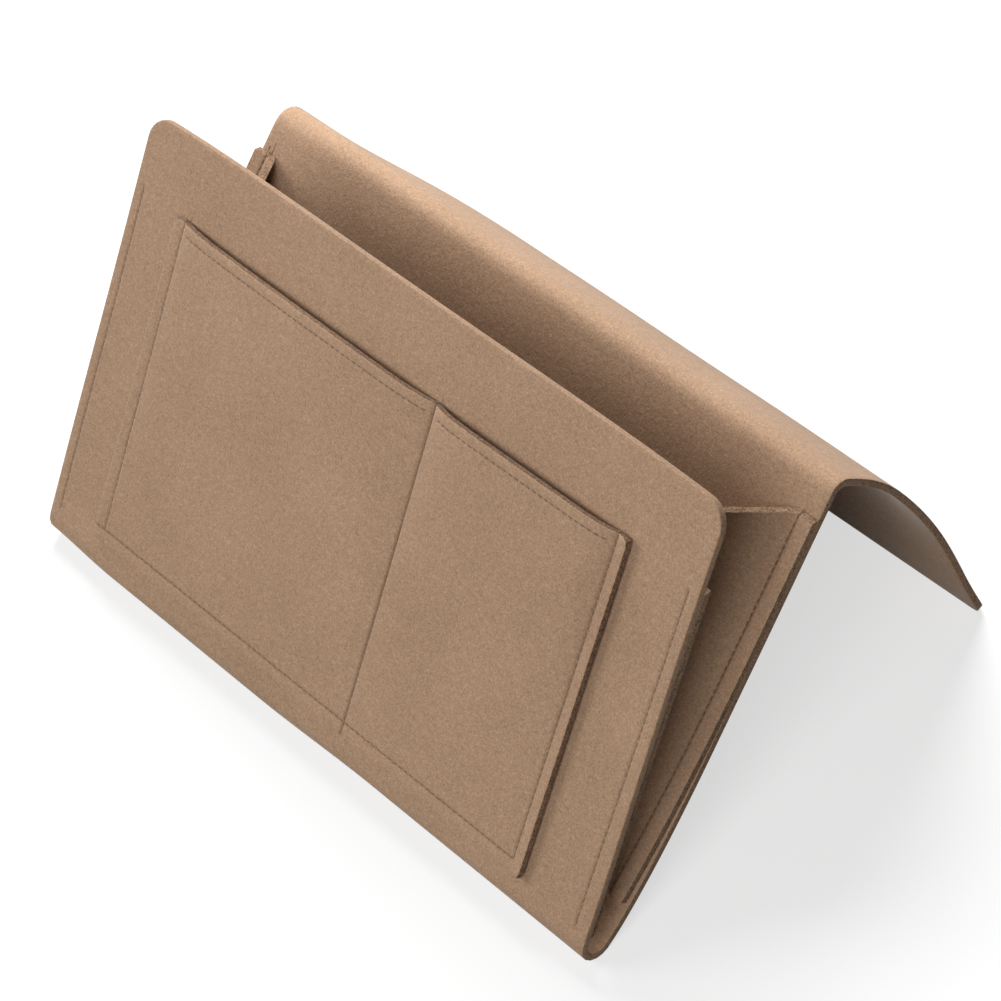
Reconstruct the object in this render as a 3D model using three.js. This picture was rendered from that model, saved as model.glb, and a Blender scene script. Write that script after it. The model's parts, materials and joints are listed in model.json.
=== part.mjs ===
// A bedside caddy cut and sewn from thick needle felt, in millimetres.
// One long sheet makes the front panel, the base fold, the back panel, the ridge bend and the anchor flap.
// A flat pocket is stitched on the front, and a bellows gusset closes each side of the main compartment.
// It stands on its base fold and on the end of its flap. X runs along its width, the front faces -Y.
import * as THREE from "three";

// Felt and thread
const felt_thickness = 3;
const lying_gap = 0.3;
const thread_width = 0.8;
const thread_thickness = 0.5;

// The main sheet, followed from the top of the front panel to the end of the flap
const caddy_width = 330;
const front_height = 186;
const front_corner_radius = 10;
const fold_radius = 8;
const mouth_angle = THREE.MathUtils.degToRad(13.3);
const back_length = 192;
const ridge_inner_radius = 3;
const ridge_turn = THREE.MathUtils.degToRad(83.7);
const ridge_leg_length = 6;
const flap_root_radius = 83;
const flap_root_length = 29;
const flap_sweep_radius = 240;
const flap_sweep_length = 75;
const flap_tail_length = 31;

// The pocket on the front panel
const pocket_width = 265;
const pocket_height = 144.5;
const pocket_left_margin = 31;
const pocket_above_fold = 7.3;
const pocket_seam_inset = 5.7;
const pocket_divider_from_left = 160;
const pocket_hem_inset = 4.5;
const pocket_gape = 2.4;
const hem_thread_end_margin = 16;

// The gussets and their seams; heights are measured from the centre of the base fold
const gusset_bottom = 16;
const gusset_front_top = 149.4;
const gusset_rear_top = 178;
const front_flange_width = 6;
const front_flange_bottom = 2;
const front_seam_inset = 5.1;
const front_seam_bottom = 5;
const rear_flange_width = 5.6;
const rear_flange_margin = 2;
const rear_seam_inset = 7;
const gusset_fold_angle = THREE.MathUtils.degToRad(35);
const crease_clearance = 1;

// How finely curves are cut into flats
const corner_steps = 5;
const fold_steps = 16;
const ridge_half_steps = 4;
const flap_root_steps = 5;
const flap_sweep_steps = 7;
const pocket_left_columns = 14;
const pocket_right_columns = 10;
const pocket_rows = 7;

const half_width = caddy_width / 2;
const sides = { left: -1, right: 1 };

const felt = () => new THREE.MeshStandardMaterial({ color: 0xa98a70, roughness: 0.95, metalness: 0 });
const thread = () => new THREE.MeshStandardMaterial({ color: 0x6f553f, roughness: 0.7, metalness: 0 });

function piece(name, geometry, material) {
  const mesh = new THREE.Mesh(geometry, material);
  mesh.name = name;
  return mesh;
}

// An outline drawn in depth and height, drawn out along the width and centred on it
function across_width(outline, width) {
  const geometry = new THREE.ExtrudeGeometry(outline, {
    depth: width,
    bevelEnabled: false,
  });
  geometry.translate(0, 0, -width / 2);
  const depth_axis = new THREE.Vector3(0, 1, 0);
  const height_axis = new THREE.Vector3(0, 0, 1);
  const width_axis = new THREE.Vector3(1, 0, 0);
  geometry.applyMatrix4(new THREE.Matrix4().makeBasis(depth_axis, height_axis, width_axis));
  return geometry;
}

// An outline drawn in width and height, given its thickness between two depths
function upright(outline, near_depth, far_depth) {
  const geometry = new THREE.ExtrudeGeometry(outline, {
    depth: far_depth - near_depth,
    bevelEnabled: false,
    curveSegments: corner_steps,
  });
  const width_axis = new THREE.Vector3(1, 0, 0);
  const height_axis = new THREE.Vector3(0, 0, 1);
  const depth_axis = new THREE.Vector3(0, -1, 0);
  geometry.applyMatrix4(new THREE.Matrix4().makeBasis(width_axis, height_axis, depth_axis));
  geometry.translate(0, far_depth, 0);
  return geometry;
}

function rectangle(x_low, x_high, z_low, z_high) {
  const outline = new THREE.Shape();
  outline.moveTo(x_low, z_low);
  outline.lineTo(x_high, z_low);
  outline.lineTo(x_high, z_high);
  outline.lineTo(x_low, z_high);
  outline.closePath();
  return outline;
}

// A walk along the outer face of bent felt: each station holds its place and its heading, 0 upwards
// and a right angle to the rear. A stretch either turns evenly or, with no turn, runs straight.
function walk(start, stretches) {
  const stations = [start];
  for (const { length, turn = 0, steps = 1 } of stretches) {
    const step_turn = turn / steps;
    const half_turn = step_turn / 2;
    const chord = (length / steps) * (turn ? Math.sin(half_turn) / half_turn : 1);
    for (let k = 0; k < steps; k++) {
      const from = stations[stations.length - 1];
      stations.push({
        y: from.y + chord * Math.sin(from.heading + half_turn),
        z: from.z + chord * Math.cos(from.heading + half_turn),
        heading: from.heading + step_turn,
      });
    }
  }
  return stations;
}

// The point under a station on the other face of the felt, or part of the way to it
const under = (station, depth = felt_thickness) => ({
  y: station.y + depth * Math.cos(station.heading),
  z: station.z - depth * Math.sin(station.heading),
});

function felt_along(stations) {
  const other_face = stations.map((station) => under(station)).reverse();
  const outline = new THREE.Shape([...stations, ...other_face].map((p) => new THREE.Vector2(p.y, p.z)));
  return across_width(outline, caddy_width);
}

// A closed solid between two grids of points that have the same columns and rows.
// Seen from the near side the columns run to the right and the rows upwards.
function solid_between(columns, rows, near_point, far_point) {
  const points = [];
  const faces = [];
  const near = (i, j) => i * rows.length + j;
  const far = (i, j) => near(i, j) + columns.length * rows.length;
  for (const place of [near_point, far_point]) {
    for (const x of columns) {
      for (const z of rows) {
        points.push(...place(x, z));
      }
    }
  }
  const quad = (a, b, c, d) => faces.push(a, b, c, a, c, d);
  const last_column = columns.length - 1;
  const last_row = rows.length - 1;
  for (let i = 0; i < last_column; i++) {
    for (let j = 0; j < last_row; j++) {
      quad(near(i, j), near(i + 1, j), near(i + 1, j + 1), near(i, j + 1));
      quad(far(i, j), far(i, j + 1), far(i + 1, j + 1), far(i + 1, j));
    }
    quad(near(i, 0), far(i, 0), far(i + 1, 0), near(i + 1, 0));
    quad(near(i, last_row), near(i + 1, last_row), far(i + 1, last_row), far(i, last_row));
  }
  for (let j = 0; j < last_row; j++) {
    quad(near(0, j), near(0, j + 1), far(0, j + 1), far(0, j));
    quad(near(last_column, j), far(last_column, j), far(last_column, j + 1), near(last_column, j + 1));
  }
  const geometry = new THREE.BufferGeometry();
  geometry.setAttribute("position", new THREE.Float32BufferAttribute(points, 3));
  geometry.setIndex(faces);
  return geometry;
}

function spread(low, high, steps) {
  return Array.from({ length: steps + 1 }, (_, k) => THREE.MathUtils.lerp(low, high, k / steps));
}

// The front of the main sheet stands upright here, its front face one fold radius before the fold's centre
const front_face = -fold_radius;
const front_back_face = front_face + felt_thickness;

function front_panel() {
  const outline = new THREE.Shape();
  const top = front_height;
  const corner = front_corner_radius;
  outline.moveTo(-half_width, lying_gap);
  outline.lineTo(half_width, lying_gap);
  outline.lineTo(half_width, top - corner);
  outline.absarc(half_width - corner, top - corner, corner, 0, Math.PI / 2, false);
  outline.absarc(corner - half_width, top - corner, corner, Math.PI / 2, Math.PI, false);
  outline.closePath();
  return piece("front_panel", upright(outline, front_face, front_back_face), felt());
}

// The fold is walked backwards round its outer face, from the back panel down and up to the front panel
function base_fold() {
  const back_end = { y: fold_radius * Math.cos(mouth_angle), z: -fold_radius * Math.sin(mouth_angle) };
  const turn = Math.PI - mouth_angle;
  const round = { length: fold_radius * turn, turn, steps: fold_steps };
  const stations = walk({ ...back_end, heading: Math.PI + mouth_angle }, [round]);
  return piece("base_fold", felt_along(stations), felt());
}

// The back panel in its own upright frame, turned about the fold's centre when it is placed
const back_rear_face = fold_radius;
const back_front_face = fold_radius - felt_thickness;

function back_panel() {
  const outline = rectangle(-half_width, half_width, lying_gap, back_length - ridge_leg_length);
  return piece("back_panel", upright(outline, back_front_face, back_rear_face), felt());
}

// The ridge bend carries on from the back panel, in that panel's frame: a leg, the bend and a second leg
const ridge_outer_radius = ridge_inner_radius + felt_thickness;
const ridge_start = { y: back_front_face, z: back_length - ridge_leg_length + lying_gap, heading: 0 };
const ridge_leg = { length: ridge_leg_length };
const ridge_half = { length: (ridge_outer_radius * ridge_turn) / 2, turn: ridge_turn / 2, steps: ridge_half_steps };
const ridge_stations = walk(ridge_start, [ridge_leg, ridge_half, ridge_half, ridge_leg]);

// The flap turns about a line inside the felt, at the middle of the bend
const ridge_hinge = under(walk(ridge_start, [ridge_leg, ridge_half]).at(-1), felt_thickness / 2);

function ridge_bend() {
  return piece("ridge_bend", felt_along(ridge_stations), felt());
}

// The flap leaves the ridge in two sweeps of growing radius and ends in a flat tail
const flap_start = walk(ridge_stations.at(-1), [{ length: lying_gap }]).at(-1);
const flap_root = { length: flap_root_length, turn: flap_root_length / flap_root_radius, steps: flap_root_steps };
const flap_sweep = { length: flap_sweep_length, turn: flap_sweep_length / flap_sweep_radius, steps: flap_sweep_steps };
const flap_stations = walk(flap_start, [flap_root, flap_sweep, { length: flap_tail_length }]);
const flap_foot = under(flap_stations.at(-1));

function anchor_flap() {
  const flap = piece("anchor_flap", felt_along(flap_stations), felt());
  flap.position.set(0, -ridge_hinge.y, -ridge_hinge.z);
  return flap;
}

// The pocket lies on the front panel along its seams and swells a little between them towards its mouth
const pocket_left = -half_width + pocket_left_margin;
const pocket_right = pocket_left + pocket_width;
const pocket_divider = pocket_left + pocket_divider_from_left;
const pocket_bottom = pocket_above_fold;
const pocket_top = pocket_bottom + pocket_height;
const pocket_seam_left = pocket_left + pocket_seam_inset;
const pocket_seam_right = pocket_right - pocket_seam_inset;
const pocket_seam_bottom = pocket_bottom + pocket_seam_inset;
const pocket_hem = pocket_top - pocket_hem_inset;

function pocket_swell(x, z) {
  const [low, high] = x < pocket_divider ? [pocket_seam_left, pocket_divider] : [pocket_divider, pocket_seam_right];
  const along = THREE.MathUtils.clamp((x - low) / (high - low), 0, 1);
  const up = THREE.MathUtils.clamp((z - pocket_seam_bottom) / (pocket_top - pocket_seam_bottom), 0, 1);
  const plateau = 1 - (1 - Math.sin(Math.PI * along)) ** 3;
  return pocket_gape * plateau * Math.sin((Math.PI / 2) * up);
}

const pocket_inner_face = (x, z) => front_face - lying_gap - pocket_swell(x, z);
const pocket_outer_face = (x, z) => pocket_inner_face(x, z) - felt_thickness;

function front_pocket() {
  const columns = [
    pocket_left,
    ...spread(pocket_seam_left, pocket_divider, pocket_left_columns),
    ...spread(pocket_divider, pocket_seam_right, pocket_right_columns).slice(1),
    pocket_right,
  ];
  const rows = [pocket_bottom, ...spread(pocket_seam_bottom, pocket_top, pocket_rows)];
  const outer = (x, z) => [x, pocket_outer_face(x, z), z];
  const inner = (x, z) => [x, pocket_inner_face(x, z), z];
  return piece("front_pocket", solid_between(columns, rows, outer, inner), felt());
}

// A straight run of stitching on a flat face; outward is the side of the face that it lies on
function straight_thread(name, x, z_low, z_high, face, outward) {
  const near = face + outward * lying_gap;
  const far = near + outward * thread_thickness;
  const outline = rectangle(x - thread_width / 2, x + thread_width / 2, z_low, z_high);
  return piece(name, upright(outline, Math.min(near, far), Math.max(near, far)), thread());
}

// The stitching that holds the pocket's two sides and its bottom
function pocket_seam_thread(name, face, outward) {
  const half = thread_width / 2;
  const near = face + outward * lying_gap;
  const far = near + outward * thread_thickness;
  const outline = new THREE.Shape();
  outline.moveTo(pocket_seam_left - half, pocket_hem);
  outline.lineTo(pocket_seam_left - half, pocket_seam_bottom - half);
  outline.lineTo(pocket_seam_right + half, pocket_seam_bottom - half);
  outline.lineTo(pocket_seam_right + half, pocket_hem);
  outline.lineTo(pocket_seam_right - half, pocket_hem);
  outline.lineTo(pocket_seam_right - half, pocket_seam_bottom + half);
  outline.lineTo(pocket_seam_left + half, pocket_seam_bottom + half);
  outline.lineTo(pocket_seam_left + half, pocket_hem);
  outline.closePath();
  return piece(name, upright(outline, Math.min(near, far), Math.max(near, far)), thread());
}

// The stitching along the pocket's hem follows the swell of the felt
function hem_thread(name, x_low, x_high, surface, outward, steps) {
  const columns = spread(x_low, x_high, steps);
  const rows = [pocket_hem - thread_width / 2, pocket_hem + thread_width / 2];
  const near_offset = outward < 0 ? -lying_gap - thread_thickness : lying_gap;
  const near = (x, z) => [x, surface(x, z) + near_offset, z];
  const far = (x, z) => [x, surface(x, z) + near_offset + thread_thickness, z];
  return piece(name, solid_between(columns, rows, near, far), thread());
}

// A gusset is one strip of felt folded in along its middle; each half is a leaf that turns beside its flange.
// A leaf's axis lies half a felt thickness and a gap from the panel and from the flange.
const leaf_axis_offset = lying_gap + felt_thickness / 2;
const front_leaf_axis_x = half_width - front_flange_width - leaf_axis_offset;
const rear_leaf_axis_x = half_width - rear_flange_margin - rear_flange_width - leaf_axis_offset;
const leaf_axis_from_fold = fold_radius - felt_thickness - leaf_axis_offset;
const crease_top = (gusset_front_top + gusset_rear_top) / 2;

// The leaf reaches to the plane midway between the panels, less its own corner and the crease's clearance
function leaf_width(height) {
  const to_midplane = leaf_axis_from_fold + height * Math.tan(mouth_angle / 2);
  const corner = (felt_thickness / 2) * Math.cos(gusset_fold_angle);
  return (to_midplane - corner - crease_clearance) / Math.sin(gusset_fold_angle);
}

function gusset_leaf(name, side, seam_top) {
  const outline = new THREE.Shape();
  outline.moveTo(0, gusset_bottom);
  outline.lineTo(-side * leaf_width(gusset_bottom), gusset_bottom);
  outline.lineTo(-side * leaf_width(crease_top), crease_top);
  outline.lineTo(0, seam_top);
  outline.closePath();
  return piece(name, upright(outline, -felt_thickness / 2, felt_thickness / 2), felt());
}

function flange(name, side, margin, width, bottom, top, near_depth) {
  const outer = side * (half_width - margin);
  const inner = outer - side * width;
  const outline = rectangle(Math.min(outer, inner), Math.max(outer, inner), bottom, top);
  return piece(name, upright(outline, near_depth, near_depth + felt_thickness), felt());
}

// What moves with the front panel
function front_assembly() {
  const front = new THREE.Group();
  front.add(front_panel(), front_pocket());
  const pocket_face = front_face - lying_gap - felt_thickness;
  front.add(pocket_seam_thread("pocket_seam_needle_thread", pocket_face, -1));
  front.add(pocket_seam_thread("pocket_seam_bobbin_thread", front_back_face, 1));
  const divider = [pocket_divider, pocket_seam_bottom + thread_width, pocket_hem - thread_width];
  front.add(straight_thread("divider_seam_needle_thread", ...divider, pocket_face, -1));
  front.add(straight_thread("divider_seam_bobbin_thread", ...divider, front_back_face, 1));
  const hems = {
    left: [pocket_seam_left, pocket_divider, pocket_left_columns],
    right: [pocket_divider, pocket_seam_right, pocket_right_columns],
  };
  for (const [name, [low, high, steps]] of Object.entries(hems)) {
    const ends = [low + hem_thread_end_margin, high - hem_thread_end_margin];
    front.add(hem_thread(`${name}_hem_needle_thread`, ...ends, pocket_outer_face, -1, steps));
    front.add(hem_thread(`${name}_hem_bobbin_thread`, ...ends, pocket_inner_face, 1, steps));
  }
  for (const [name, side] of Object.entries(sides)) {
    const flange_near = front_back_face + lying_gap;
    const flange_far = flange_near + felt_thickness;
    const seam_x = side * (half_width - front_seam_inset);
    const flange_place = [0, front_flange_width, front_flange_bottom, gusset_front_top, flange_near];
    front.add(flange(`${name}_gusset_front_flange`, side, ...flange_place));
    const seam = [seam_x, front_seam_bottom, gusset_front_top];
    front.add(straight_thread(`${name}_front_seam_needle_thread`, ...seam, front_face, -1));
    front.add(straight_thread(`${name}_front_seam_bobbin_thread`, ...seam, flange_far, 1));
    const hinge = new THREE.Group();
    hinge.position.set(side * front_leaf_axis_x, -leaf_axis_from_fold, 0);
    hinge.rotation.z = -side * gusset_fold_angle;
    hinge.add(gusset_leaf(`${name}_gusset_front_leaf`, side, gusset_front_top));
    front.add(hinge);
  }
  return front;
}

// What moves with the back panel, and the flap that turns at its ridge
function back_assembly() {
  const back = new THREE.Group();
  back.rotation.x = -mouth_angle;
  back.add(back_panel(), ridge_bend());
  for (const [name, side] of Object.entries(sides)) {
    const flange_far = back_front_face - lying_gap;
    const flange_near = flange_far - felt_thickness;
    const flange_place = [rear_flange_margin, rear_flange_width, gusset_bottom, gusset_rear_top, flange_near];
    back.add(flange(`${name}_gusset_rear_flange`, side, ...flange_place));
    const seam = [side * (half_width - rear_seam_inset), gusset_bottom, gusset_rear_top];
    back.add(straight_thread(`${name}_rear_seam_needle_thread`, ...seam, flange_near, -1));
    back.add(straight_thread(`${name}_rear_seam_bobbin_thread`, ...seam, back_rear_face, 1));
    const hinge = new THREE.Group();
    hinge.position.set(side * rear_leaf_axis_x, leaf_axis_from_fold, 0);
    hinge.rotation.z = side * gusset_fold_angle;
    hinge.add(gusset_leaf(`${name}_gusset_rear_leaf`, side, gusset_rear_top));
    back.add(hinge);
  }
  const flap = new THREE.Group();
  flap.position.set(0, ridge_hinge.y, ridge_hinge.z);
  flap.add(anchor_flap());
  back.add(flap);
  return back;
}

// The caddy leans back until the lower edge of its flap's end is level with the bottom of its base fold
function lean_angle() {
  const foot = new THREE.Vector2(flap_foot.y, flap_foot.z).rotateAround(new THREE.Vector2(), -mouth_angle);
  return foot.angle() + Math.asin(fold_radius / foot.length());
}

const caddy = new THREE.Group();
const leaning = new THREE.Group();
leaning.add(front_assembly(), base_fold(), back_assembly());
leaning.rotation.x = -lean_angle();
caddy.add(leaning);

// The origin is under the middle of the caddy's outline, on the surface that it stands on
const reach = new THREE.Box3().setFromObject(caddy, true);
leaning.position.y = -(reach.min.y + reach.max.y) / 2;
leaning.position.z = -reach.min.z;

export default caddy;
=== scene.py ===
import json
import math

import bmesh
import bpy
import numpy as np
from mathutils import Matrix, Vector


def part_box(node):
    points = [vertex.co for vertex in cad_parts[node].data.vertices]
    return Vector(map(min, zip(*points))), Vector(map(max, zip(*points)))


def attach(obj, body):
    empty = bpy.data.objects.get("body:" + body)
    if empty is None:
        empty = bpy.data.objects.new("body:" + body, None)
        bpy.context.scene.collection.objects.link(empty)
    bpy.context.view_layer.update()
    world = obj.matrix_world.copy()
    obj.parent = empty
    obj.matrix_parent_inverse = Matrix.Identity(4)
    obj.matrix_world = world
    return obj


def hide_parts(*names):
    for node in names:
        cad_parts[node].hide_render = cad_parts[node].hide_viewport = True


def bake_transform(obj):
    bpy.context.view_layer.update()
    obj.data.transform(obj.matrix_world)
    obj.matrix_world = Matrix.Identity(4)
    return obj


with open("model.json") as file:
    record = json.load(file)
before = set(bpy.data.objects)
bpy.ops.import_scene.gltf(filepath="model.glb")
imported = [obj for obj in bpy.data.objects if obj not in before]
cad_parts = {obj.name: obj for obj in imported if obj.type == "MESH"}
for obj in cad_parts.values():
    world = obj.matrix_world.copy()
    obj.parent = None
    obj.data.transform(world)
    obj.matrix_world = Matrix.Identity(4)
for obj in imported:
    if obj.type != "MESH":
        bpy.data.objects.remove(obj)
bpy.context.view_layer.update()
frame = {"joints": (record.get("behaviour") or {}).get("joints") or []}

mm = 0.001


# The camera. It looks down on the caddy from its front right through a long lens, and is turned a little
# about its own line of sight, so that the caddy hangs across the picture from the top left.
camera_place = Vector((0.9093, -0.50573, 1.20009))
camera_azimuth = math.radians(60.488)
camera_elevation = math.radians(48.078)
camera_roll = math.radians(-16.676)
camera_lens = 141.51
camera_sensor = 36

camera = bpy.data.objects.new("camera", bpy.data.cameras.new("camera"))
camera.data.sensor_width = camera_sensor
camera.data.lens = camera_lens
camera.data.clip_start = 0.1
camera.data.clip_end = 20
tilt = Matrix.Rotation(math.pi / 2 - camera_elevation, 4, "X")
turn = Matrix.Rotation(camera_azimuth, 4, "Z")
roll = Matrix.Rotation(camera_roll, 4, "Z")
camera.matrix_world = Matrix.Translation(camera_place) @ turn @ tilt @ roll
bpy.context.scene.collection.objects.link(camera)
bpy.context.scene.camera = camera
bpy.context.scene.view_settings.view_transform = "Standard"


# The floor and the light. The floor is pale and plain, and three soft lamps light the caddy, the strongest
# from behind on the left. The right gusset, the inside and the underside of the flap lie in shade.
floor_size = 12
floor_seen = (0.99, 0.99, 0.99, 1)
floor_bounced = (0.34, 0.33, 0.32, 1)
floor_whitening = 0.65
surround_level = 0.03


class Wire:
    """One output of a shader node. A sum on wires adds a Math node."""

    def __init__(self, tree, socket):
        self.tree = tree
        self.socket = socket

    def sum(self, operation, first, second):
        node = self.tree.nodes.new("ShaderNodeMath")
        node.operation = operation
        for place, value in zip(node.inputs, (first, second)):
            if isinstance(value, Wire):
                self.tree.links.new(value.socket, place)
            else:
                place.default_value = value
        return Wire(self.tree, node.outputs[0])

    def __add__(self, other):
        return self.sum("ADD", self, other)

    __radd__ = __add__

    def __mul__(self, other):
        return self.sum("MULTIPLY", self, other)

    __rmul__ = __mul__

    def __sub__(self, other):
        return self.sum("SUBTRACT", self, other)

    def __rsub__(self, other):
        return self.sum("SUBTRACT", other, self)


class Finish:
    """The nodes of one material, or of the surround, with one method that adds any of them."""

    def __init__(self, holder):
        holder.use_nodes = True
        self.holder = holder
        self.tree = holder.node_tree
        self.tree.nodes.clear()

    def node(self, kind, settings=None, links=None, output=0):
        node = self.tree.nodes.new("ShaderNode" + kind)
        for name, value in (settings or {}).items():
            if name == "stops":
                ramp = node.color_ramp
                while len(ramp.elements) < len(value):
                    ramp.elements.new(0.5)
                for stop, (place, colour) in zip(ramp.elements, value):
                    stop.position = place
                    stop.color = (*colour, 1)
            else:
                setattr(node, name, value)
        for name, value in (links or {}).items():
            if isinstance(value, Wire):
                self.tree.links.new(value.socket, node.inputs[name])
            else:
                node.inputs[name].default_value = value
        return Wire(self.tree, node.outputs[output]) if node.outputs else None


def looked_at(finish):
    """1 for what the camera sees, in gloss and through glass too, and 0 for light that bounces on."""
    return (
        finish.node("LightPath", output="Is Camera Ray")
        + finish.node("LightPath", output="Is Glossy Ray")
        + finish.node("LightPath", output="Is Transmission Ray")
    )


floor_mesh = bmesh.new()
bmesh.ops.create_grid(floor_mesh, x_segments=1, y_segments=1, size=floor_size / 2)
floor_data = bpy.data.meshes.new("floor")
floor_mesh.to_mesh(floor_data)
floor_mesh.free()
floor = bpy.data.objects.new("floor", floor_data)
bpy.context.scene.collection.objects.link(floor)
paint = Finish(bpy.data.materials.new("floor_paint"))
seen = looked_at(paint)
floor_colour = paint.node(
    "Mix",
    {"data_type": "RGBA", "clamp_factor": True},
    {0: seen, 6: floor_bounced, 7: floor_seen},
    output=2,
)
matt = paint.node("BsdfDiffuse", links={"Color": floor_colour})
glow = paint.node("Emission", links={"Color": floor_seen, "Strength": 1.0})
matt = paint.node("MixShader", links={0: seen * floor_whitening, 1: matt, 2: glow})
paint.node("OutputMaterial", links={"Surface": matt})
floor.data.materials.append(paint.holder)

surround = Finish(bpy.data.worlds.new("surround"))
bpy.context.scene.world = surround.holder
seen = surround.node("Clamp", links={"Value": looked_at(surround)})
level = seen * (1 - surround_level) + surround_level
white = surround.node("Background", links={"Color": (1, 1, 1, 1), "Strength": level})
surround.node("OutputWorld", links={"Surface": white})

lamps = {
    "left_rear_lamp": {"place": (-0.6, 0.7, 0.9), "size": 0.9, "power": 26},
    "right_front_lamp": {"place": (0.6, -0.9, 1.0), "size": 0.9, "power": 10},
    "left_front_lamp": {"place": (-0.9, -0.8, 0.9), "size": 0.9, "power": 9.3},
}
lamp_aim = Vector((0, 0, 0.07))
for lamp_name, lamp in lamps.items():
    light = bpy.data.lights.new(lamp_name, "AREA")
    light.shape = "DISK"
    light.size = lamp["size"]
    light.energy = lamp["power"]
    holder = bpy.data.objects.new(lamp_name, light)
    place = Vector(lamp["place"])
    aimed = (place - lamp_aim).to_track_quat("Z", "Y").to_matrix().to_4x4()
    holder.matrix_world = Matrix.Translation(place) @ aimed
    bpy.context.scene.collection.objects.link(holder)


# The main sheet: one length of thick needle felt that makes the front panel, turns under at the base,
# rises as the back panel, bends over the ridge and hangs down behind. It is cut flat and then folded.
joints = {joint["name"]: joint for joint in frame["joints"]}
fold_centre = Vector(joints["mouth"]["pos_m"])
front_axis = joints["right_front_leaf_fold"]["axis"]
rear_axis = joints["right_rear_leaf_fold"]["axis"]
front_lean = math.atan2(front_axis[1], front_axis[2])
mouth_angle = math.atan2(rear_axis[1], rear_axis[2]) - front_lean
half_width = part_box("front_panel")[1].x

felt_thickness = 3 * mm
half_felt = felt_thickness / 2
cut_rounding = 0.35 * mm
fold_radius = 6.5 * mm
front_height = 186 * mm
front_corner_radius = 10 * mm
back_run = 190.6 * mm
ridge_reach = 3.3 * mm
root_start = 203.2 * mm
root_length = 28.5 * mm
root_turn = math.radians(20)
sweep_length = 74.5 * mm
sweep_turn = math.radians(17.9)
sheet_length = 541.6 * mm
cell = 2.5 * mm

# The sheet isn't folded alike all along: its left end gapes a little further than its right end, and there
# the flap drops straighter from a rounder ridge, with its foot bent out by the floor that it stands on.
flare_angle = math.radians(3.6)
flare_reach = 130 * mm
flare_power = 1.7
ridge_turn = math.radians(83.7)
ridge_length = 9.9 * mm
steep_reach = 130 * mm
steep_power = 2.4
steep_turn = math.radians(32)
steep_ridge_length = 20 * mm
foot_start = 280 * mm
foot_length = 55 * mm
back_bow = 5 * mm
back_bow_power = 0.72
steepest_bow = 0.3
least_rise = 0.002
front_bow = 2.5 * mm
front_bow_power = 1.5
path_step = 0.25 * mm
column_step = 1.5 * mm
look_up_margin = 1.001
solved_columns = 56
least_foot_bend = -0.6
most_foot_bend = 2.2
foot_bend_halvings = 18
foot_from = round((front_height + foot_start) / path_step)


def ease(share):
    share = np.clip(share, 0, 1)
    return share * share * (3 - 2 * share)


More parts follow.
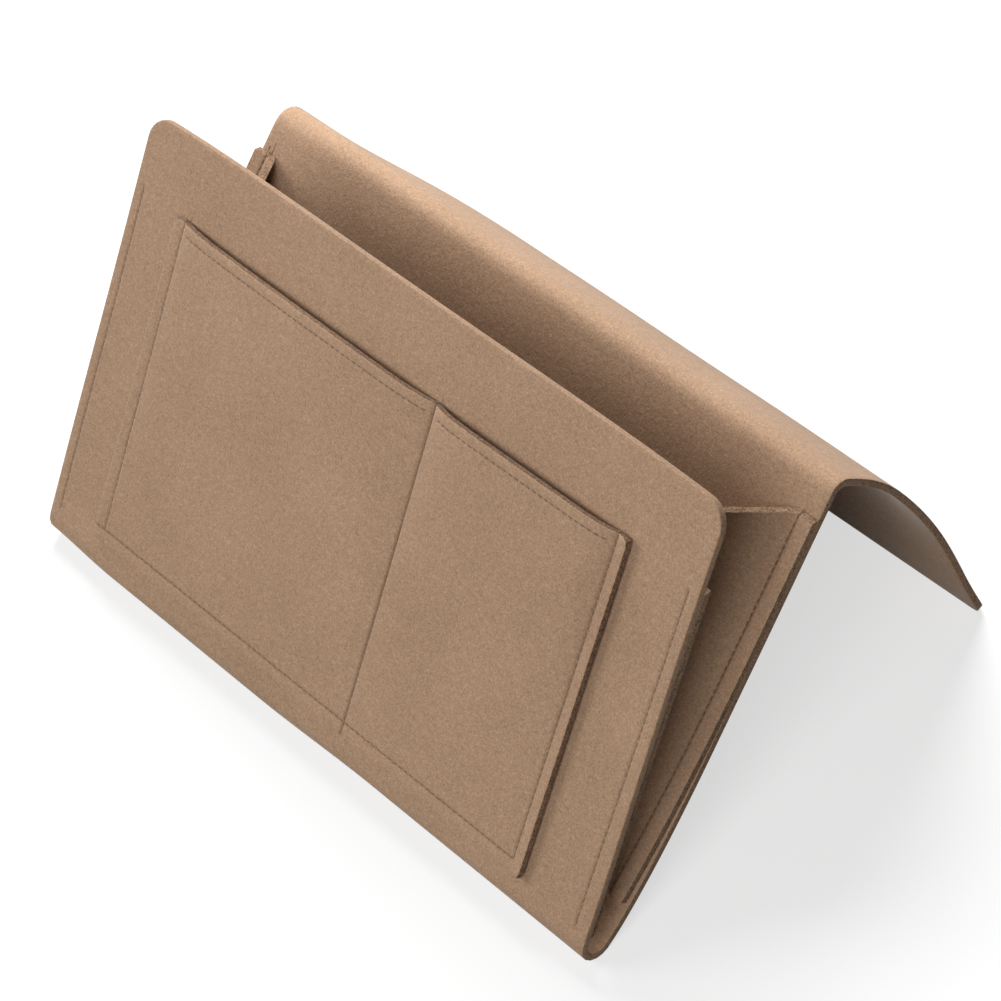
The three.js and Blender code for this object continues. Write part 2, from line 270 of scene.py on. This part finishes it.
class FoldedSheet:
    """The path of the sheet's middle surface, one row of points for each column across its width."""

    def __init__(self):
        self.x = np.arange(-half_width, half_width + column_step, column_step)
        self.m = np.arange(0, sheet_length + 2 * path_step, path_step)
        from_left = (self.x + half_width)[:, None]
        flare = np.clip(1 - from_left / flare_reach, 0, 1) ** flare_power
        mouth = mouth_angle + flare_angle * flare
        self.start = front_height + fold_radius * (np.pi - mouth)
        s = self.m[None, :] - self.start
        steep = np.clip(1 - from_left / steep_reach, 0, 1) ** steep_power
        length = ridge_length + (steep_ridge_length - ridge_length) * steep
        rise = np.clip(s / back_run, least_rise, 1)
        bow = back_bow * np.pi * back_bow_power / back_run
        bow = bow * rise ** (back_bow_power - 1) * np.cos(np.pi * rise**back_bow_power)
        bow = np.clip(bow, -steepest_bow, steepest_bow) * (s > 0) * (s < back_run)
        heading = front_lean + np.minimum(mouth - np.minimum(s, 0) / fold_radius, np.pi) + bow
        over_ridge = ease((s - back_run - ridge_reach) / length + 0.5)
        heading = heading + (ridge_turn + steep_turn * steep) * over_ridge
        down_flap = root_turn * np.clip((s - root_start) / root_length, 0, 1)
        down_flap = down_flap + sweep_turn * np.clip((s - root_start - root_length) / sweep_length, 0, 1)
        heading = heading + (1 - steep) * down_flap

        # The foot of each column is bent out as far as makes it stand on the floor
        foot = ease((s - foot_start) / foot_length)
        some = np.linspace(0, len(self.x) - 1, solved_columns).round().astype(int)
        low = np.full((solved_columns, 1), least_foot_bend)
        high = np.full((solved_columns, 1), most_foot_bend)
        for _ in range(foot_bend_halvings):
            bent = (low + high) / 2
            self.fold(heading[some] - bent * foot[some])
            under = self.z[:, foot_from:-2] - half_felt * np.abs(np.sin(self.heading[:, foot_from:-2]))
            sunk = under.min(axis=1, keepdims=True) < 0
            low, high = np.where(sunk, bent, low), np.where(sunk, high, bent)
        bent = np.interp(self.x, self.x[some], high[:, 0])[:, None]
        self.fold(heading - bent * foot)

    def fold(self, heading):
        self.heading = heading
        half_way = (heading[:, 1:] + heading[:, :-1]) / 2
        none = np.zeros((len(heading), 1))
        top_y = fold_centre.y - fold_radius * math.cos(front_lean) + front_height * math.sin(front_lean)
        top_z = fold_centre.z + fold_radius * math.sin(front_lean) + front_height * math.cos(front_lean)
        self.y = top_y + np.hstack([none, np.cumsum(np.sin(half_way), axis=1)]) * path_step
        self.z = top_z + np.hstack([none, np.cumsum(np.cos(half_way), axis=1)]) * path_step

    def look_up(self, table, x, m):
        i = np.clip((x - self.x[0]) / column_step, 0, len(self.x) - look_up_margin)
        j = np.clip(m / path_step, 0, len(self.m) - look_up_margin)
        i0, j0 = i.astype(int), j.astype(int)
        a, b = i - i0, j - j0
        low = table[i0, j0] * (1 - b) + table[i0, j0 + 1] * b
        high = table[i0 + 1, j0] * (1 - b) + table[i0 + 1, j0 + 1] * b
        return low * (1 - a) + high * a

    def point(self, x, m, n):
        """The place of a point x across, m down the sheet and n in from its middle."""
        h = self.look_up(self.heading, x, m)
        y = self.look_up(self.y, x, m) - n * np.cos(h)
        z = self.look_up(self.z, x, m) + n * np.sin(h)
        forward = front_swell(x, front_height - m)
        return x, y - forward * math.cos(front_lean), z + forward * math.sin(front_lean)

    def back_start(self, x):
        """How far down the sheet the back panel starts, at a place across it."""
        return np.interp(x, self.x, self.start[:, 0])


def front_swell(x, height):
    """How far the front panel bows forward at a height up from the fold."""
    up = np.clip(height / front_height, 0, 1)
    along = np.clip((x + half_width) / (2 * half_width), 0, 1)
    return front_bow * up**front_bow_power * np.sin(np.pi * along)


def front_point(x, height, out):
    """The place of a point out from the front panel's front face."""
    depth = -fold_radius - half_felt - out - front_swell(x, height)
    y = fold_centre.y + depth * math.cos(front_lean) + height * math.sin(front_lean)
    z = fold_centre.z - depth * math.sin(front_lean) + height * math.cos(front_lean)
    return x, y, z


ripple_across = {"height": 0.16 * mm, "reach": 17 * mm, "sway": 1.3, "sway_reach": 31 * mm}
ripple_down = {"height": 0.12 * mm, "reach": 23 * mm, "sway": 1.7, "sway_reach": 41 * mm}


def waves(size, along, across):
    """Low waves along one way of the felt, which sway as they run across it."""
    sway = size["sway"] * np.sin(across / size["sway_reach"])
    return size["height"] * np.sin(along / size["reach"] + sway)


def ripple(a, b):
    """The slight unevenness of felt that was folded by hand."""
    return waves(ripple_across, a, b) + waves(ripple_down, b, a)


seam_depth = 0.45 * mm
seam_spread = 0.55 * mm
seam_loops = np.array([0, 0.35, 0.7, 1.2, 1.9]) * mm
loop_margin = cell / 4
weld_distance = 0.1 * mm
rim_angle = 1
rim_segments = 2
face_flatness = 0.92
sharp_edge = math.radians(50)


def pull(seams, a, b):
    """How hard the stitches pull at a point: 1 on a seam, and 0 away from it."""
    pulled = np.zeros_like(a)
    for (a0, b0), (a1, b1) in seams:
        run = math.hypot(a1 - a0, b1 - b0)
        along = ((a - a0) * (a1 - a0) + (b - b0) * (b1 - b0)) / run
        beyond = np.maximum(np.maximum(-along, along - run), 0)
        across = ((a - a0) * (b1 - b0) - (b - b0) * (a1 - a0)) / run
        pulled = np.maximum(pulled, np.exp(-((np.hypot(across, beyond) / seam_spread) ** 2)))
    return pulled


def thicken(sheet):
    """Gives a flat cut the felt's thickness, half of it to each side."""
    bmesh.ops.solidify(sheet, geom=sheet.faces[:], thickness=felt_thickness)
    lowest = min(vert.co.z for vert in sheet.verts)
    bmesh.ops.translate(sheet, vec=(0, 0, -half_felt - lowest), verts=sheet.verts)
    bmesh.ops.recalc_face_normals(sheet, faces=sheet.faces[:])


def cut_felt(low, high, seams=(), corner_radius=0, corners=(), raw_ends=()):
    """A flat cut of felt from one corner to the other, with loops along its seams and softened edges."""
    sheet = bmesh.new()
    size = (high[0] - low[0], high[1] - low[1])
    bmesh.ops.create_grid(
        sheet, x_segments=round(size[0] / cell), y_segments=round(size[1] / cell), size=0.5
    )
    bmesh.ops.scale(sheet, vec=(size[0], size[1], 1), verts=sheet.verts)
    bmesh.ops.translate(sheet, vec=((low[0] + high[0]) / 2, (low[1] + high[1]) / 2, 0), verts=sheet.verts)
    for (a0, b0), (a1, b1) in seams:
        across = (1, 0, 0) if abs(a1 - a0) < abs(b1 - b0) else (0, 1, 0)
        for offset in sorted({*seam_loops, *-seam_loops}):
            middle = Vector((a0, b0, 0)) + Vector(across) * offset
            if low[0] + loop_margin < middle.x < high[0] - loop_margin or across[1]:
                bmesh.ops.bisect_plane(
                    sheet,
                    geom=sheet.verts[:] + sheet.edges[:] + sheet.faces[:],
                    dist=weld_distance,
                    plane_co=middle,
                    plane_no=across,
                )
    for right, top in corners:
        middle = Vector((
            high[0] - corner_radius if right else low[0] + corner_radius,
            high[1] - corner_radius if top else low[1] + corner_radius,
            0,
        ))
        for vert in sheet.verts:
            a = (vert.co.x - middle.x) / corner_radius * (1 if right else -1)
            b = (vert.co.y - middle.y) / corner_radius * (1 if top else -1)
            if a > 0 and b > 0:
                vert.co.x = middle.x + (vert.co.x - middle.x) * math.sqrt(1 - b * b / 2)
                vert.co.y = middle.y + (vert.co.y - middle.y) * math.sqrt(1 - a * a / 2)
    thicken(sheet)
    rims = [
        edge
        for edge in sheet.edges
        if len(edge.link_faces) == 2
        and edge.calc_face_angle(0) > rim_angle
        and abs(edge.verts[0].co.z - edge.verts[1].co.z) < half_felt
        and not any(sum(abs(vert.co.y - end) for vert in edge.verts) < weld_distance for end in raw_ends)
    ]
    bmesh.ops.bevel(
        sheet,
        geom=rims,
        offset=cut_rounding,
        offset_type="OFFSET",
        segments=rim_segments,
        profile=0.5,
        affect="EDGES",
        material=-1,
        clamp_overlap=True,
    )
    return sheet


def flat_points(data):
    """Where a mesh's points lie in the flat: across it, down it and through it."""
    flat = np.empty(len(data.vertices) * 3)
    data.vertices.foreach_get("co", flat)
    return flat.reshape(-1, 3).T


def lay_felt(name, sheet, where, pulled_at, finish, edge_painted_shade=1):
    """Moves a flat cut to where it lies, with its seams pulled in, and makes it a piece."""
    data = bpy.data.meshes.new(name)
    bmesh.ops.triangulate(sheet, faces=[face for face in sheet.faces if len(face.verts) > 4])
    sheet.to_mesh(data)
    sheet.free()
    a, b, n = flat_points(data)
    facing = np.empty(len(data.polygons) * 3)
    data.polygons.foreach_get("normal", facing)
    pulled = pulled_at(a, b)
    x, y, z = where(a, b, n * (1 - pulled * seam_depth / half_felt), ripple(a, b))
    data.vertices.foreach_set("co", np.column_stack([x, y, z]).ravel())
    # The stitches' pull is kept on the points as well, and the felt's colour uses it to paint shade into
    # the seams' grooves.
    mark = data.attributes.new("pulled", "FLOAT", "POINT")
    mark.data.foreach_set("value", pulled.astype(np.float32))
    # Painted shade: faces on the cut edges are marked here, and the felt's colour is made darker on them.
    edges = data.attributes.new("cut_edge", "FLOAT", "FACE")
    on_edge = np.abs(facing[2::3]) < face_flatness
    edges.data.foreach_set("value", on_edge.astype(np.float32) * edge_painted_shade)
    data.shade_smooth()
    data.set_sharp_from_angle(angle=sharp_edge)
    data.materials.append(finish)
    data.update()
    piece = bpy.data.objects.new(name, data)
    bpy.context.scene.collection.objects.link(piece)
    return piece


heather_grain = 0.95
heather_clump = 0.3
heather_cloud = 0.22
middle_tone = 0.5
# Painted shade: how much darker the felt's colour is made in the seams' grooves.
groove_painted_shade = 0.17
# Painted shade: how much darker the felt's colour is made on its cut edges.
cut_edge_painted_shade = 0.33
grain_height = 0.5
clump_height = 0.9


def felt_finish():
    """Tan felt of lighter and darker fibres, with shade painted into its colour in its grooves and on its
    cut edges.
    """
    felt = Finish(bpy.data.materials.new("heathered_felt"))
    place = felt.node("TexCoord", output="Object")
    grain = felt.node(
        "TexNoise", {"noise_dimensions": "3D"},
        {"Vector": place, "Scale": 1250, "Detail": 2, "Roughness": 0.6},
    )
    clump = felt.node("TexNoise", links={"Vector": place, "Scale": 420, "Detail": 3, "Roughness": 0.6})
    cloud = felt.node("TexNoise", links={"Vector": place, "Scale": 22, "Detail": 3, "Roughness": 0.5})
    pulled = felt.node("Attribute", {"attribute_name": "pulled"}, output="Fac")
    cut_edge = felt.node("Attribute", {"attribute_name": "cut_edge"}, output="Fac")
    heather = (grain - 0.5) * heather_grain + (clump - 0.5) * heather_clump + (cloud - 0.5) * heather_cloud
    # Painted shade: the tone is made darker in the seams' grooves and on the cut edges.
    tone = heather + middle_tone - pulled * groove_painted_shade - cut_edge * cut_edge_painted_shade
    colour = felt.node(
        "ValToRGB",
        {"stops": [
            (0, (0.12, 0.07, 0.043)),
            (0.12, (0.238, 0.147, 0.088)),
            (0.36, (0.345, 0.221, 0.14)),
            (0.5, (0.405, 0.262, 0.168)),
            (0.64, (0.468, 0.308, 0.202)),
            (0.9, (0.62, 0.43, 0.3)),
        ]},
        {"Fac": tone},
    )
    height = grain * grain_height + clump * clump_height
    bump = felt.node("Bump", links={"Height": height, "Strength": 0.5, "Distance": 0.5 * mm})
    surface = felt.node(
        "BsdfPrincipled",
        links={
            "Base Color": colour,
            "Roughness": 0.95,
            "Specular IOR Level": 0.15,
            "Sheen Weight": 0.5,
            "Sheen Roughness": 0.3,
            "Sheen Tint": (1, 0.97, 0.94, 1),
            "Normal": bump,
        },
    )
    felt.node("OutputMaterial", links={"Surface": surface})
    return felt.holder


felt_material = felt_finish()
folded = FoldedSheet()
joint_line = 205.6 * mm

top_edge_drop = 2.8 * mm
top_edge_power = 4
top_edge_reach = 60 * mm
right_edge_skew = 1.8 * mm
right_edge_start = 160 * mm
right_edge_width = 5 * mm
skew_stretch = {"start": 40 * mm, "rise": 150 * mm, "end": 316 * mm, "fall": 110 * mm}
fold_bulge = 1.4 * mm
fold_bulge_width = 210 * mm
bulge_left_steepness = 5
bulge_right_steepness = 3
bulge_stretch = {"start": 172 * mm, "rise": 12 * mm, "end": 215 * mm, "fall": 15 * mm}
uneven_stretch = {"start": 0, "rise": 20 * mm, "end": sheet_length, "fall": 60 * mm}
even_by_joint = 30 * mm
# The front part of the main sheet gets less painted shade on its cut edges than the back part.
front_edge_painted_shade = 0.6
flap_corner_radius = 4 * mm
gusset_bottom = 16 * mm
gusset_front_top = 149.4 * mm
left_seam_more = 4.5 * mm
gusset_rear_top = 178 * mm
front_seam_inset = 5.1 * mm
front_seam_bottom = 5 * mm
rear_seam_inset = 7 * mm
front_seams = [
    (
        (side * (half_width - front_seam_inset), front_height - gusset_front_top - more),
        (side * (half_width - front_seam_inset), front_height - front_seam_bottom),
    )
    for side, more in ((-1, left_seam_more), (1, 0))
]
nominal_start = front_height + fold_radius * (math.pi - mouth_angle)
rear_seams = [
    (
        (side * (half_width - rear_seam_inset), nominal_start + gusset_bottom),
        (side * (half_width - rear_seam_inset), nominal_start + gusset_rear_top),
    )
    for side in (-1, 1)
]


def along_stretch(b, start, rise, end, fall):
    """1 along a stretch of the sheet, eased in from its start and out again towards its end."""
    return ease((b - start) / rise) * ease((end - b) / fall)


def main_place(a, b, n, uneven):
    """The place of a point of the main sheet, with its top edge hollowed and its fold's edge askew."""
    lowered = top_edge_drop * np.abs(a / half_width) ** top_edge_power * ease(1 - b / top_edge_reach)
    x, y, z = folded.point(a, b + lowered, n)
    at_right_edge = np.clip((a - right_edge_start) / right_edge_width, 0, 1)
    x = x + along_stretch(b, **skew_stretch) * right_edge_skew * at_right_edge
    along = (a + half_width) / fold_bulge_width
    bulge = ease(along * bulge_left_steepness) * ease((1 - along) * bulge_right_steepness)
    y = y - fold_bulge * bulge * along_stretch(b, **bulge_stretch)
    uneven = uneven * along_stretch(b, **uneven_stretch)
    return x, y, z + uneven * ease(np.abs(b - joint_line) / even_by_joint)


front_cut = cut_felt(
    (-half_width, 0),
    (half_width, joint_line),
    front_seams,
    front_corner_radius,
    corners=[(False, False), (True, False)],
    raw_ends=[joint_line],
)
front_felt = lay_felt(
    "front_panel_and_base_fold_felt",
    front_cut,
    main_place,
    lambda a, b: pull(front_seams, a, b),
    felt_material,
    front_edge_painted_shade,
)
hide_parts("front_panel", "base_fold")
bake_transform(front_felt)

back_cut = cut_felt(
    (-half_width, joint_line),
    (half_width, sheet_length),
    rear_seams,
    flap_corner_radius,
    corners=[(False, True), (True, True)],
    raw_ends=[joint_line],
)
back_felt = lay_felt(
    "back_panel_ridge_and_flap_felt",
    back_cut,
    main_place,
    lambda a, b: pull(rear_seams, a, b),
    felt_material,
)
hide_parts("back_panel", "ridge_bend", "anchor_flap")
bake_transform(back_felt)


# The front pocket: a patch of the same felt, sewn to the front panel along its sides and bottom and
# parted by one line of stitches. Its open top edge is hemmed with a line of stitches and gapes a little.
pocket_left = -134 * mm
pocket_right = 131 * mm
pocket_bottom = 7.3 * mm
pocket_top = 152.8 * mm
pocket_corner_radius = 1.5 * mm
pocket_seam_inset = 5.7 * mm
pocket_divider = 26 * mm
back_tack = 3.2 * mm
hem_inset = 4.5 * mm
hem_end = 3 * mm
# The hems' and the divider's pull set both how deep their grooves are and how much shade is painted into
# them.
hem_pull = 0.5
pocket_gape = 3.4 * mm
pocket_gape_power = 5
pocket_unevenness = 0.5
pocket_even_foot = 20 * mm
divider_pull = 1.6
# The pocket's cut edges get more painted shade than the main sheet's.
pocket_edge_painted_shade = 1.25
pocket_rest = 0.15 * mm
pocket_edge_lift = 0.25 * mm
pocket_right_lift = 1 * mm
seam_left = pocket_left + pocket_seam_inset
seam_right = pocket_right - pocket_seam_inset
seam_bottom = pocket_bottom + pocket_seam_inset
hem_height = pocket_top - hem_inset

u_seam = [
    ((seam_left, pocket_top + back_tack), (seam_left, seam_bottom)),
    ((pocket_left - back_tack, seam_bottom), (seam_right, seam_bottom)),
    ((seam_right, seam_bottom), (seam_right, pocket_top + back_tack)),
]
divider_seam = [((pocket_divider, pocket_bottom - back_tack), (pocket_divider, pocket_top + back_tack))]
left_hem = [((seam_left + hem_end, hem_height), (pocket_divider - hem_end, hem_height))]
right_hem = [((pocket_divider + hem_end, hem_height), (seam_right - hem_end, hem_height))]
pocket_seams = u_seam + divider_seam + left_hem + right_hem


def pocket_lift(x, height):
    """How far the pocket stands off the panel between its seams, and beyond them at its edges."""
    up = np.clip((height - seam_bottom) / (pocket_top - seam_bottom), 0, 1)
    swell = np.zeros_like(x)
    for low, high in ((seam_left, pocket_divider), (pocket_divider, seam_right)):
        along = np.clip((x - low) / (high - low), 0, 1)
        bowed = 1 - (1 - np.sin(np.pi * along)) ** pocket_gape_power
        swell = swell + pocket_gape * bowed * np.sin(np.pi / 2 * up)
    outside = np.maximum(np.maximum(seam_left - x, x - seam_right), seam_bottom - height)
    edge_lift = np.where(x > seam_right, pocket_right_lift, pocket_edge_lift)
    return pocket_rest + swell + edge_lift * ease(outside / pocket_seam_inset)


def pocket_pull(a, b):
    """How hard the pocket's stitches pull: most at the divider, and least at the hems."""
    sewn_down = np.maximum(pull(u_seam, a, b), divider_pull * pull(divider_seam, a, b))
    return np.maximum(sewn_down, hem_pull * pull(left_hem + right_hem, a, b))


def pocket_ripple(b, uneven):
    """The unevenness of the pocket's felt, which fades where it is sewn down at its foot."""
    return pocket_unevenness * uneven * ease((b - seam_bottom) / pocket_even_foot)


def pocket_place(a, b, n, uneven):
    return front_point(a, b, pocket_lift(a, b) + half_felt + n + pocket_ripple(b, uneven))


pocket_cut = cut_felt(
    (pocket_left, pocket_bottom),
    (pocket_right, pocket_top),
    pocket_seams,
    pocket_corner_radius,
    corners=[(False, False), (True, False), (False, True), (True, True)],
)
pocket_felt = lay_felt(
    "front_pocket_felt", pocket_cut, pocket_place, pocket_pull, felt_material, pocket_edge_painted_shade
)
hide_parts("front_pocket")
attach(pocket_felt, "front")


# The gussets: a strip of the same felt at each side, folded in along its middle, with a flange of it
# sewn to the front panel and another to the back panel. Each is made in two halves that meet at the crease.
gusset_width_top = 46 * mm
gusset_width_bottom = 15 * mm
left_gusset_lower = 4.5 * mm
gusset_gap = 0.2 * mm
flange_bend_radius = 3 * mm
crease_radius = 3 * mm
flange_bottom = 2 * mm
flange_width = 6 * mm
flange_share = 0.3
bend_past_seam = 1.2 * mm
weld_share = 1e-5
leaf_unevenness = 0.4
leaf_loose_stretch = {"start": 0.4, "rise": 1 / 3, "end": 3.2 / 3, "fall": 1 / 3}
# Painted shade on the gussets' cut edges.
gusset_edge_painted_shade = 1.2
gusset_columns = 26
gusset_rows = 60
least_leaf_angle = 0.02
leaf_angle_halvings = 30
gusset_seams = {"front": front_seam_inset, "rear": rear_seam_inset}


def gusset_lines(side, up):
    """The two lines along which a gusset is sewn: places on the front panel and on the back panel."""
    edge = side * half_width * np.ones_like(up)
    front_height_here = gusset_bottom + (gusset_front_top - gusset_bottom) * up
    rear_top = gusset_rear_top - (left_gusset_lower if side < 0 else 0)
    rear_height_here = gusset_bottom + (rear_top - gusset_bottom) * up
    inner = -felt_thickness - gusset_gap - half_felt
    front = np.column_stack(front_point(edge, front_height_here, inner))
    seam_x = side * (half_width - rear_seam_inset) * np.ones_like(up)
    down = folded.back_start(seam_x) + rear_height_here
    _, y, z = folded.point(seam_x, down, half_felt + gusset_gap + half_felt)
    rear = np.column_stack([edge, y, z])
    return front, rear


def straight_run(width, seam, angle):
    """How long a leaf is between the bend at its seam and the turn into the crease."""
    return width - seam - flange_bend_radius * angle - crease_radius * (math.pi / 2 - angle)


def leaf_angle(width, seam, gap):
    """How far a leaf leans from its panel, so that it reaches halfway across the gap."""
    low, high = np.full_like(gap, least_leaf_angle), np.full_like(gap, math.pi / 2)
    for _ in range(leaf_angle_halvings):
        angle = (low + high) / 2
        depth = flange_bend_radius * (1 - np.cos(angle)) + crease_radius * np.cos(angle)
        depth = depth + straight_run(width, seam, angle) * np.sin(angle)
        short = depth < gap / 2
        low = np.where(short, angle, low)
        high = np.where(short, high, angle)
    return angle


def gusset_place(side, part):
    """The function that lays one half: its flange, a bend, a straight leaf and the turn into the crease."""

    def place(a, up, n, uneven):
        front, rear = gusset_lines(side, up)
        across = rear - front
        gap = np.linalg.norm(across, axis=1)
        toward = across / gap[:, None]
        if part == "rear":
            toward = -toward
        start = front if part == "front" else rear
        width = gusset_width_bottom + (gusset_width_top - gusset_width_bottom) * np.clip(up, 0, 1)
        seam = gusset_seams[part] + bend_past_seam
        angle = leaf_angle(width, seam, gap)
        run = np.maximum(straight_run(width, seam, angle), 0)
        flange = 2 * gusset_seams[part]
        past_flange = (a - flange_share) / (1 - flange_share)
        s = np.where(a < flange_share, a / flange_share * flange, flange + past_flange * (width - flange))
        s0, s1 = seam, seam + flange_bend_radius * angle
        s2 = s1 + run
        bend = np.clip((s - s0) / flange_bend_radius, 0, angle)
        turn_in = np.clip((s - s2) / crease_radius, 0, math.pi / 2 - angle)
        straight = np.clip(s - s1, 0, run)
        inward = np.minimum(s, s0) + flange_bend_radius * np.sin(bend) + straight * np.cos(angle)
        inward = inward + crease_radius * (np.sin(angle + turn_in) - np.sin(angle))
        depth = flange_bend_radius * (1 - np.cos(bend)) + straight * np.sin(angle)
        depth = depth + crease_radius * (np.cos(angle) - np.cos(angle + turn_in))
        heading = bend + turn_in
        inward = inward - n * np.sin(heading)
        depth = depth + n * np.cos(heading)
        depth = depth + leaf_unevenness * uneven * along_stretch(a, **leaf_loose_stretch)
        points = start + toward * depth[:, None]
        return points[:, 0] - side * inward, points[:, 1], points[:, 2]

    return place


def face_outwards(data):
    """Turns the faces of a laid mesh outwards, as its place can turn it inside out."""
    laid = bmesh.new()
    laid.from_mesh(data)
    bmesh.ops.recalc_face_normals(laid, faces=laid.faces[:])
    laid.to_mesh(data)
    laid.free()


for side_name, side in (("left", -1), ("right", 1)):
    for part, body in (("front", "front"), ("rear", "back")):
        tail = 0
        if part == "front":
            tail = (gusset_bottom - flange_bottom) / (gusset_front_top - gusset_bottom)
        cut = bmesh.new()
        bmesh.ops.create_grid(cut, x_segments=gusset_columns, y_segments=gusset_rows, size=0.5)
        bmesh.ops.scale(cut, vec=(1, 1 + tail, 1), verts=cut.verts)
        bmesh.ops.translate(cut, vec=(0.5, (1 - tail) / 2, 0), verts=cut.verts)
        seam_share = flange_share / 2
        share_per_length = flange_share / (2 * gusset_seams[part])
        offsets = sorted({*seam_loops, *-seam_loops})
        tail_share = flange_width * share_per_length
        lines = [seam_share + offset * share_per_length for offset in offsets] + [tail_share]
        for place, along in [((line, 0, 0), (1, 0, 0)) for line in lines] + [((0, 0, 0), (0, 1, 0))]:
            bmesh.ops.bisect_plane(
                cut,
                geom=cut.verts[:] + cut.edges[:] + cut.faces[:],
                dist=weld_share,
                plane_co=place,
                plane_no=along,
            )
        spare = [
            face
            for face in cut.faces
            if face.calc_center_median().y < 0 and face.calc_center_median().x > tail_share
        ]
        bmesh.ops.delete(cut, geom=spare, context="FACES")
        thicken(cut)
        stem = f"{side_name}_gusset_{part}"
        spread_share = seam_spread * share_per_length
        piece = lay_felt(
            f"{stem}_felt",
            cut,
            gusset_place(side, part),
            lambda a, b: np.exp(-(((a - seam_share) / spread_share) ** 2)),
            felt_material,
            gusset_edge_painted_shade,
        )
        face_outwards(piece.data)
        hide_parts(f"{stem}_flange", f"{stem}_leaf")
        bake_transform(piece)


# The stitches: lockstitch in a thread a little darker than the felt. Each row lies in the groove that it
# pulls in the felt, with the needle thread on the seam's face and the bobbin thread on its back.
stitch_pitch = 3.2 * mm
stitch_length = 2.35 * mm
stitch_width = 0.76 * mm
stitch_height = 0.5 * mm
stitch_sides = 6
stitch_rings = 5
groove = half_felt - seam_depth
edge_step = 0.8 * mm
thread_sink = 0.1 * mm
bobbin_stand = 0.05 * mm
bobbin_start = 2 * mm


def thread_finish():
    """Dull twisted thread in two browns."""
    thread = Finish(bpy.data.materials.new("sewing_thread"))
    place = thread.node("TexCoord", output="Object")
    twist = thread.node("TexNoise", links={"Vector": place, "Scale": 2600, "Detail": 2})
    colour = thread.node(
        "ValToRGB",
        {"stops": [(0.3, (0.11, 0.062, 0.034)), (0.7, (0.21, 0.125, 0.072))]},
        {"Fac": twist},
    )
    bump = thread.node("Bump", links={"Height": twist, "Strength": 0.4, "Distance": 0.1 * mm})
    surface = thread.node(
        "BsdfPrincipled",
        links={"Base Color": colour, "Roughness": 0.7, "Normal": bump, "Sheen Weight": 0.2},
    )
    thread.node("OutputMaterial", links={"Surface": surface})
    return thread.holder


thread_material = thread_finish()


def sew(name, node, body, runs, where):
    """A row of stitches along flat runs, laid by the same function as the felt that it is sewn in."""
    row = bmesh.new()
    for (a0, b0), (a1, b1) in runs:
        run = math.hypot(a1 - a0, b1 - b0)
        count = max(1, round(run / stitch_pitch))
        heading = math.atan2(b1 - b0, a1 - a0)
        for i in range(count):
            share = (i + 0.5) / count
            middle = Vector((a0 + (a1 - a0) * share, b0 + (b1 - b0) * share, 0))
            bmesh.ops.create_uvsphere(
                row,
                u_segments=stitch_sides,
                v_segments=stitch_rings,
                radius=0.5,
                matrix=Matrix.Translation(middle)
                @ Matrix.Rotation(heading, 4, "Z")
                @ Matrix.Diagonal((stitch_length, stitch_width, stitch_height, 1))
                @ Matrix.Rotation(math.pi / 2, 4, "Y"),
            )
    data = bpy.data.meshes.new(name)
    row.to_mesh(data)
    row.free()
    a, b, n = flat_points(data)
    x, y, z = where(a, b, n)
    data.vertices.foreach_set("co", np.column_stack([x, y, z]).ravel())
    face_outwards(data)
    data.shade_smooth()
    data.materials.append(thread_material)
    piece = bpy.data.objects.new(name, data)
    bpy.context.scene.collection.objects.link(piece)
    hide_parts(node)
    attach(piece, body)


def on_hem(a, b, n):
    return pocket_place(a, b, n + half_felt - seam_depth * hem_pull, ripple(a, b))


def behind_hem(a, b, n):
    return pocket_place(a, b, seam_depth * hem_pull - half_felt - n, ripple(a, b))


def on_pocket(a, b, n):
    """On the pocket's face, and beyond its cut edges on the panel's."""
    beyond_side = np.maximum(pocket_left - a, a - pocket_right)
    beyond_end = np.maximum(pocket_bottom - b, b - pocket_top)
    off_edge = ease(np.maximum(beyond_side, beyond_end) / edge_step)
    deeper = (divider_pull - 1) * seam_depth * pull(divider_seam, a, b)
    lift = (pocket_lift(a, b) + half_felt + groove - deeper) * (1 - off_edge) - thread_sink * off_edge
    loose = pocket_ripple(b, ripple(a, b)) * (1 - off_edge)
    return front_point(a, b, lift + n + loose)


def behind_front(a, b, n):
    return front_point(a, b, -felt_thickness - n - bobbin_stand)


def outside(a, b, n):
    """On the main sheet's outer face."""
    return main_place(a, b, -groove - n, ripple(a, b))


def inside(a, b, n):
    """On a gusset's flange, where it lies on the main sheet's inner face."""
    return main_place(a, b, half_felt + gusset_gap + felt_thickness - thread_sink + n, ripple(a, b))


for name, runs, needle_side, bobbin_side in (
    ("pocket_seam", u_seam, on_pocket, behind_front),
    ("divider_seam", divider_seam, on_pocket, behind_front),
    ("left_hem", left_hem, on_hem, behind_hem),
    ("right_hem", right_hem, on_hem, behind_hem),
):
    sew(f"{name}_needle_stitches", f"{name}_needle_thread", "front", runs, needle_side)
    sew(f"{name}_bobbin_stitches", f"{name}_bobbin_thread", "front", runs, bobbin_side)

for side_name, front_run, rear_run in zip(("left", "right"), front_seams, rear_seams):
    front, rear = f"{side_name}_front_seam", f"{side_name}_rear_seam"
    flange_run = (
        (front_run[0][0], front_run[0][1] + bobbin_start),
        (front_run[1][0], front_height - gusset_bottom),
    )
    sew(f"{front}_needle_stitches", f"{front}_needle_thread", "front", [front_run], outside)
    sew(f"{rear}_bobbin_stitches", f"{rear}_bobbin_thread", "back", [rear_run], outside)
    sew(f"{front}_bobbin_stitches", f"{front}_bobbin_thread", "front", [flange_run], inside)
    sew(f"{rear}_needle_stitches", f"{rear}_needle_thread", "back", [rear_run], inside)
